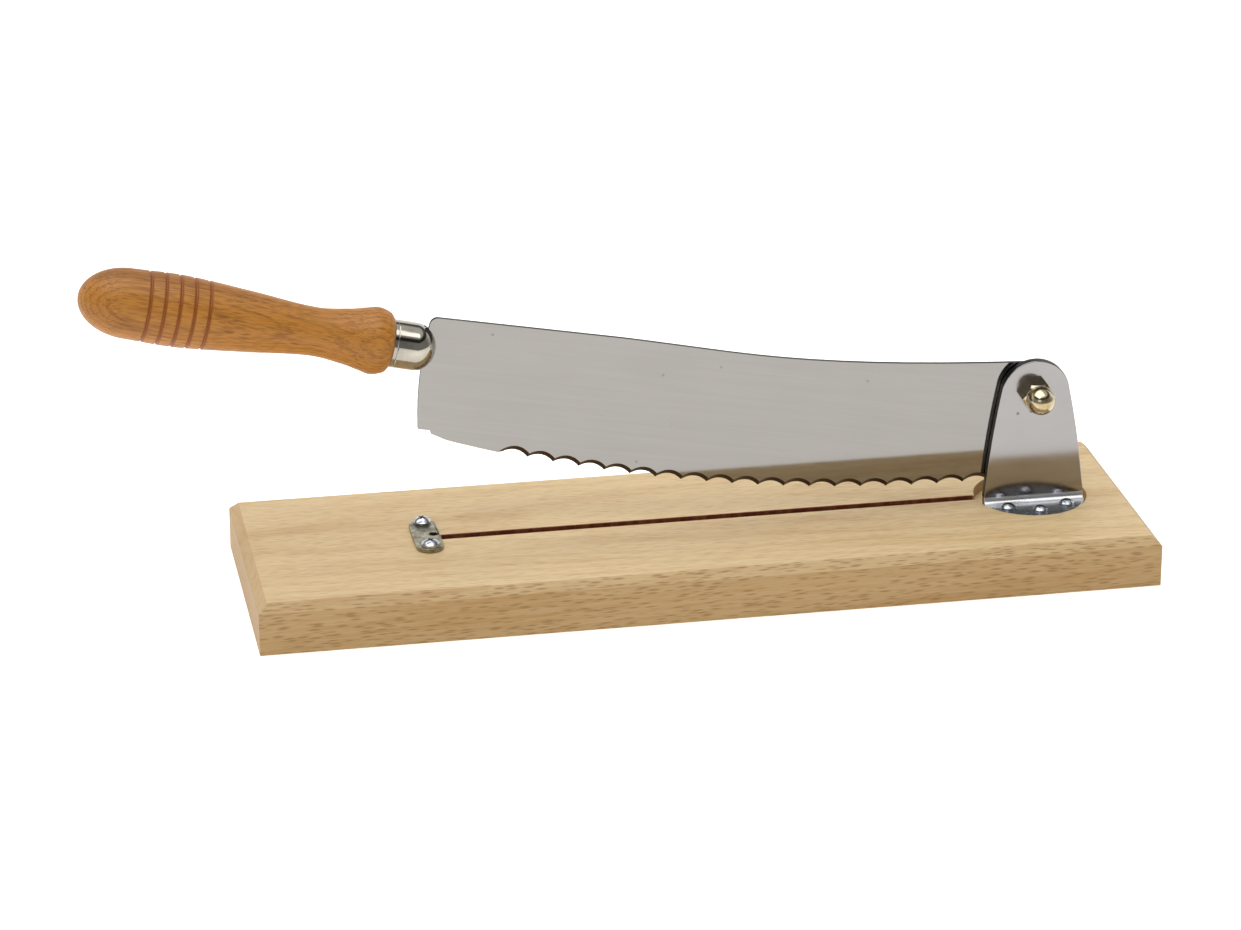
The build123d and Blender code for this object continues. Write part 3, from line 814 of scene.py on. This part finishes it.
class BREADSLICER_OT_ferrule(Operator):
    """Turns the domed ferrule and slots it for the blade"""

    bl_idname = "bread_slicer.ferrule"
    bl_label = "Ferrule"

    def execute(self, context):
        sizes = context.scene.slicer_sizes
        colours = context.scene.slicer_colours
        start, radius = sizes.handle_start, sizes.ferrule_radius
        shoulder = start - sizes.ferrule_length + sizes.ferrule_dome
        spigot_radius = 7.0 * MM
        spigot_length = 13.9 * MM
        rings = [(start + spigot_length, spigot_radius), (start, spigot_radius)]
        # The rim and its rolled line: distance from the handle and depth below the barrel, in mm.
        for back, dip in ((0.0, 0.25), (0.35, 0.0), (1.7, 0.0), (2.0, 0.22), (2.3, 0.0)):
            rings.append((start - back * MM, radius - dip * MM))
        rings.append((shoulder, radius))
        for level, ring in dome(0, radius, sizes.ferrule_dome, steps=14):
            rings.append((shoulder - level, ring))
        ferrule = turned(rings, segments=96)
        place(ferrule, along_handle(sizes))
        blade_low, blade_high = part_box("blade")
        clearance = 0.04 * MM
        thickness = blade_high.y - blade_low.y + clearance
        slot_place = start - 17.3 * MM
        slot_height = 8.4 * MM
        slot = block((0, 0, slot_place), (3 * radius, thickness, slot_height))
        combine(ferrule, place(slot, along_handle(sizes)))
        soften(ferrule, 0.12 * MM, angle=60.0, segments=2)
        chrome = plated_metal(
            "chromed_ferrule", colours.chrome, shade="#96928a", smooth=0.05, rough=0.11, cell=9.0
        )
        hand_over(ferrule, "domed_ferrule", [chrome], "knife", "ferrule")
        return {"FINISHED"}


def smooth_rings(stations, steps):
    """Rings of a smooth curve through (distance, radius) stations, evenly spaced between them."""
    slopes = []
    for index in range(len(stations)):
        before = stations[max(index - 1, 0)]
        after = stations[min(index + 1, len(stations) - 1)]
        slopes.append((after[1] - before[1]) / (after[0] - before[0]))
    rings = []
    for index in range(len(stations) - 1):
        (near, near_radius), (far, far_radius) = stations[index], stations[index + 1]
        span = far - near
        for step in range(steps):
            t = step / steps
            rise = near_radius * (1 + 2 * t) * (1 - t) ** 2 + far_radius * t * t * (3 - 2 * t)
            bend = slopes[index] * t * (1 - t) ** 2 - slopes[index + 1] * t * t * (1 - t)
            rings.append((near + t * span, rise + bend * span))
    return rings + [stations[-1]]


class BREADSLICER_OT_handle(Operator):
    """Turns the beech handle with its flare, waist, round butt and five burnt rings"""

    bl_idname = "bread_slicer.handle"
    bl_label = "Handle"

    def execute(self, context):
        sizes = context.scene.slicer_sizes
        start, collar = sizes.handle_start, sizes.handle_collar
        neck, belly = sizes.handle_neck, sizes.handle_belly
        butt = start + sizes.handle_length - sizes.butt_length
        butt_radius = belly - 0.4 * MM
        # Distance from the collar's face, the radius it is near, and what it adds, in mm.
        shape = (
            (0.0, collar, -3.4),
            (1.6, collar, -1.5),
            (7.0, collar, 0.0),
            (12.0, collar, -0.95),
            (19.0, neck, 1.6),
            (34.0, neck, 0.0),
            (62.0, belly, -2.4),
            (92.0, belly, 0.0),
        )
        stations = [(start + along * MM, radius + more * MM) for along, radius, more in shape]
        stations.append((butt, butt_radius))
        rings = self.with_burnt_grooves(smooth_rings(stations, steps=12), sizes)
        rings += dome(butt, butt_radius, sizes.butt_length, steps=18)
        socket_radius = 7.02 * MM
        socket_depth = 14.0 * MM
        socket = [(start + socket_depth, socket_radius), (start, socket_radius)]
        handle = turned(socket + rings, segments=96)
        place(handle, along_handle(sizes))
        wood = oiled_beech(context.scene.slicer_colours, sizes)
        hand_over(handle, "turned_handle", [wood], "knife", "handle", smooth=38.0)
        return {"FINISHED"}

    def with_burnt_grooves(self, rings, sizes):
        """The rings with a small round-bottomed groove at each burnt line."""
        half = sizes.ring_depth
        first = sizes.handle_start + sizes.handle_length - sizes.ring_start
        lines = [first - sizes.ring_pitch * count for count in range(sizes.ring_count)]
        kept = [r for r in rings if all(abs(r[0] - line) > 1.6 * half for line in lines)]
        for line in lines:
            before = max((r for r in rings if r[0] <= line), key=lambda r: r[0])
            after = min((r for r in rings if r[0] > line), key=lambda r: r[0])
            share = (line - before[0]) / (after[0] - before[0])
            surface = before[1] + share * (after[1] - before[1])
            # A ring is twice as wide as it is deep, and its shoulders sink a little.
            for step in (-1.5, -1.15, -0.9, -0.55, 0, 0.55, 0.9, 1.15, 1.5):
                dip = sqrt(max(1 - step * step, 0)) if abs(step) < 1 else 0.0
                shoulder = 0.06 if abs(step) == 1.15 else 0.0
                kept.append((line + step * half, surface - half * max(dip, shoulder)))
        return sorted(kept)


def hexagon(flats, height, chamfer):
    """A hexagon standing on the level 0, its corners taken off by a turned chamfer."""
    hold()
    corner = flats / sqrt(3)
    top = flats / 2 - 0.1 * MM
    bpy.ops.mesh.primitive_cylinder_add(vertices=6, radius=corner, depth=height)
    prism = bpy.context.object
    place(prism, Matrix.Translation((0, 0, height / 2)) @ Matrix.Rotation(pi / 2, 4, "Z"))
    profile = [(0, corner + OVERLAP), (height - chamfer, corner + 2 * HAIR), (height, top)]
    combine(prism, turned(profile, segments=96), "INTERSECT")
    return prism


class BREADSLICER_OT_cap_nut(Operator):
    """Shapes the domed nut that closes the pivot"""

    bl_idname = "bread_slicer.cap_nut"
    bl_label = "Domed nut"

    def execute(self, context):
        sizes = context.scene.slicer_sizes
        colours = context.scene.slicer_colours
        low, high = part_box("cap_nut")
        height = high.y - low.y
        radius = sizes.nut_dome / 2
        nut = hexagon(sizes.nut_flats, sizes.nut_hex, chamfer=1.1 * MM)
        sunk = 1.2 * MM
        profile = [(sizes.nut_hex - sunk, radius), (height - radius, radius)]
        profile += dome(height - radius, radius, radius, steps=16)
        combine(nut, turned(profile, segments=72), "UNION")
        soften(nut, 0.1 * MM, angle=28.0)
        seat = Matrix.Translation((pivot.x, high.y, pivot.z))
        place(nut, seat @ Matrix.Rotation(pi / 2, 4, "X"))
        nickel = plated_metal(
            "nickel_plated_nut", colours.nickel, shade="#a8946a", smooth=0.09, rough=0.2, cell=2.2
        )
        hand_over(nut, "domed_pivot_nut", [nickel], "stand", "cap_nut")
        return {"FINISHED"}


class BREADSLICER_OT_pivot_bolt(Operator):
    """Shapes the hexagon bolt that goes through from behind"""

    bl_idname = "bread_slicer.pivot_bolt"
    bl_label = "Pivot bolt"

    def execute(self, context):
        sizes = context.scene.slicer_sizes
        low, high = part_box("pivot_bolt")
        spring_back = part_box("spring_washer")[1].y
        bolt = hexagon(sizes.nut_flats, high.y - spring_back, chamfer=0.8 * MM)
        place(bolt, Matrix.Translation((0, 0, spring_back)))
        radius = sizes.bolt_radius
        tip = low.y + 0.2 * MM
        chamfer = 0.6 * MM
        shank = [(tip, radius - chamfer), (tip + chamfer, radius), (spring_back + OVERLAP, radius)]
        combine(bolt, turned(shank, segments=64), "UNION")
        soften(bolt, 0.2 * MM, angle=28.0, segments=2)
        place(bolt, onto_pivot)
        zinc = screw_zinc(context.scene.slicer_colours)
        hand_over(bolt, "hexagon_pivot_bolt", [zinc], "stand", "pivot_bolt")
        return {"FINISHED"}


def flat_ring(outer, inner, front, back, arris):
    """A flat ring about the pivot between two levels, with softened edges."""
    profile = [(front, inner), (front, outer), (back, outer), (back, inner), (front, inner)]
    ring = turned(profile, segments=96, hollow=True)
    close_mesh(ring)
    soften(ring, arris, angle=50.0, segments=2)
    return ring


class BREADSLICER_OT_washers(Operator):
    """Turns the friction discs, the flat washer and the split spring washer"""

    bl_idname = "bread_slicer.washers"
    bl_label = "Washers"

    def execute(self, context):
        sizes = context.scene.slicer_sizes
        colours = context.scene.slicer_colours
        zinc = screw_zinc(colours)
        play = sizes.play
        bore = sizes.bolt_radius + play
        blade_low, blade_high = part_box("blade")
        disc_low, disc_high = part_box("friction_washers")
        levels = ((disc_low.y, blade_low.y - play), (blade_high.y + play, disc_high.y))
        discs = [flat_ring(sizes.disc_radius, bore, *pair, arris=0.15 * MM) for pair in levels]
        discs = [place(disc, onto_pivot) for disc in discs]
        nylon = moulded_nylon(colours)
        hand_over(join(discs), "friction_discs", [nylon], "stand", "friction_washers")
        low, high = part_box("rear_washer")
        washer = flat_ring(sizes.washer_radius, bore, low.y, high.y, arris=0.25 * MM)
        place(washer, onto_pivot)
        hand_over(washer, "flat_washer", [zinc], "stand", "rear_washer")
        low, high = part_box("spring_washer")
        spring = flat_ring((high.z - low.z) / 2, bore, low.y, high.y, arris=0.3 * MM)
        saw = (12 * MM, sizes.spring_gap, 6 * MM)
        combine(spring, block((sizes.washer_radius, 0, (low.y + high.y) / 2), saw))
        place(spring, onto_pivot)
        hand_over(spring, "split_spring_washer", [zinc], "stand", "spring_washer")
        return {"FINISHED"}


# ---------------- stage
class BREADSLICER_OT_stage(Operator):
    """Lays the pale floor, hangs the soft lights and sets up the camera"""

    bl_idname = "bread_slicer.stage"
    bl_label = "Studio"

    def execute(self, context):
        studio = context.scene.slicer_studio
        self.lay_floor(studio)
        self.light_sky(context.scene, studio)
        self.hang_light("soft_box", studio.key_power, spot=(-0.3, -0.1, 1.7), size=(2.2, 1.9))
        self.hang_light("front_fill", studio.fill_power, spot=(-1.2, -2.3, 1.1), size=(1.3, 0.9))
        self.set_camera(context.scene, studio)
        return {"FINISHED"}

    def lay_floor(self, studio):
        """A wide disc just under the board, matt and pale."""
        hold()
        drop = 0.2 * MM
        bpy.ops.mesh.primitive_circle_add(
            vertices=96, radius=studio.floor_radius, fill_type="NGON", location=(0, 0, -drop)
        )
        floor = bpy.context.object
        floor.name = floor.data.name = "studio_floor"
        material, add, place_on_floor = new_material("matt_paper")
        tooth = pattern(add, place_on_floor, (220, 220, 220))
        paper = {0: tooth, 6: studio.floor, 7: linear("#f1f0ee")}
        paper = add("Mix", paper, **RGB)
        skin = {
            "Base Color": paper,
            "Roughness": 0.95,
            "Emission Color": studio.floor,
            "Emission Strength": studio.floor_glow,
        }
        surface = add("BsdfPrincipled", skin)
        add("OutputMaterial", {"Surface": surface})
        floor.data.materials.append(material)

    def light_sky(self, scene, studio):
        """Even pale light, with a darker band part way up that gives bright metal its contrast."""
        world = bpy.data.worlds.new("studio_sky")
        scene.world = world
        world.use_nodes = True
        world.node_tree.nodes.clear()
        add = partial(add_node, world)
        direction = add("TexCoord", output="Generated")
        away = add("SeparateXYZ", [direction], "Y")
        height = add("SeparateXYZ", [direction], "Z")
        wall = add("MapRange", [away, -0.35, 0.6, 0.55, 2.6], **SOFT)
        band = add("MapRange", [height, 0.48, 0.56, 1.0, 0.12], **SOFT)
        overhead = add("MapRange", [height, 0.68, 0.82, 0.0, 1.5], **SOFT)
        light = add("Math", [wall, band, overhead], operation="MULTIPLY_ADD")
        light = add("Math", [light, studio.sky_strength], operation="MULTIPLY")
        even = {"Color": linear("#fbfaf8"), "Strength": light}
        surface = add("Background", even)
        add("OutputWorld", {"Surface": surface})

    def hang_light(self, name, power, spot, size):
        """A rectangular soft light at the spot, aimed at the slicer."""
        light = bpy.data.lights.new(name, "AREA")
        light.shape = "RECTANGLE"
        light.size, light.size_y = size
        light.energy = power
        lamp = bpy.data.objects.new(name, light)
        lamp.location = spot
        aim = Vector((0, 0, 0.05)) - Vector(spot)
        lamp.rotation_euler = aim.to_track_quat("-Z", "Y").to_euler()
        bpy.context.scene.collection.objects.link(lamp)

    def set_camera(self, scene, studio):
        """The camera stands in front of the user's side, a little left and above."""
        camera = bpy.data.objects.new("camera", bpy.data.cameras.new("camera"))
        camera.data.lens = studio.lens / MM
        camera.data.sensor_width = 36.0
        camera.location = studio.camera_place
        direction = Vector(studio.camera_direction)
        camera.rotation_euler = direction.to_track_quat("-Z", "Y").to_euler()
        scene.collection.objects.link(camera)
        scene.camera = camera
        scene.view_settings.view_transform = "Standard"


# ---------------- panel and running
PIECES = (
    BREADSLICER_OT_board,
    BREADSLICER_OT_stop_plate,
    BREADSLICER_OT_screws,
    BREADSLICER_OT_upright,
    BREADSLICER_OT_blade,
    BREADSLICER_OT_ferrule,
    BREADSLICER_OT_handle,
    BREADSLICER_OT_cap_nut,
    BREADSLICER_OT_pivot_bolt,
    BREADSLICER_OT_washers,
    BREADSLICER_OT_stage,
)
GROUPS = {
    "slicer_sizes": BreadSlicerSizes,
    "slicer_colours": BreadSlicerColours,
    "slicer_studio": BreadSlicerStudio,
}


class BREADSLICER_PT_pieces(Panel):
    """Lists the slicer's pieces, its sizes and its colours"""

    bl_label = "Bread Slicer"
    bl_idname = "BREADSLICER_PT_pieces"
    bl_space_type = "VIEW_3D"
    bl_region_type = "UI"
    bl_category = "Bread Slicer"

    def draw(self, context):
        column = self.layout.column(align=True)
        for operator in PIECES:
            column.operator(operator.bl_idname)
        for group_name in GROUPS:
            group = getattr(context.scene, group_name)
            box = self.layout.box()
            for name in group.__annotations__:
                box.prop(group, name)


CLASSES = (*GROUPS.values(), *PIECES, BREADSLICER_PT_pieces)


def register():
    for entry in CLASSES:
        bpy.utils.register_class(entry)
    for name, group in GROUPS.items():
        setattr(bpy.types.Scene, name, PointerProperty(type=group))


def unregister():
    for name in GROUPS:
        delattr(bpy.types.Scene, name)
    for entry in reversed(CLASSES):
        bpy.utils.unregister_class(entry)


def main():
    """Makes every piece and the studio."""
    register()
    for operator in PIECES:
        group, name = operator.bl_idname.split(".")
        getattr(getattr(bpy.ops, group), name)()


if __name__ == "__main__":
    main()
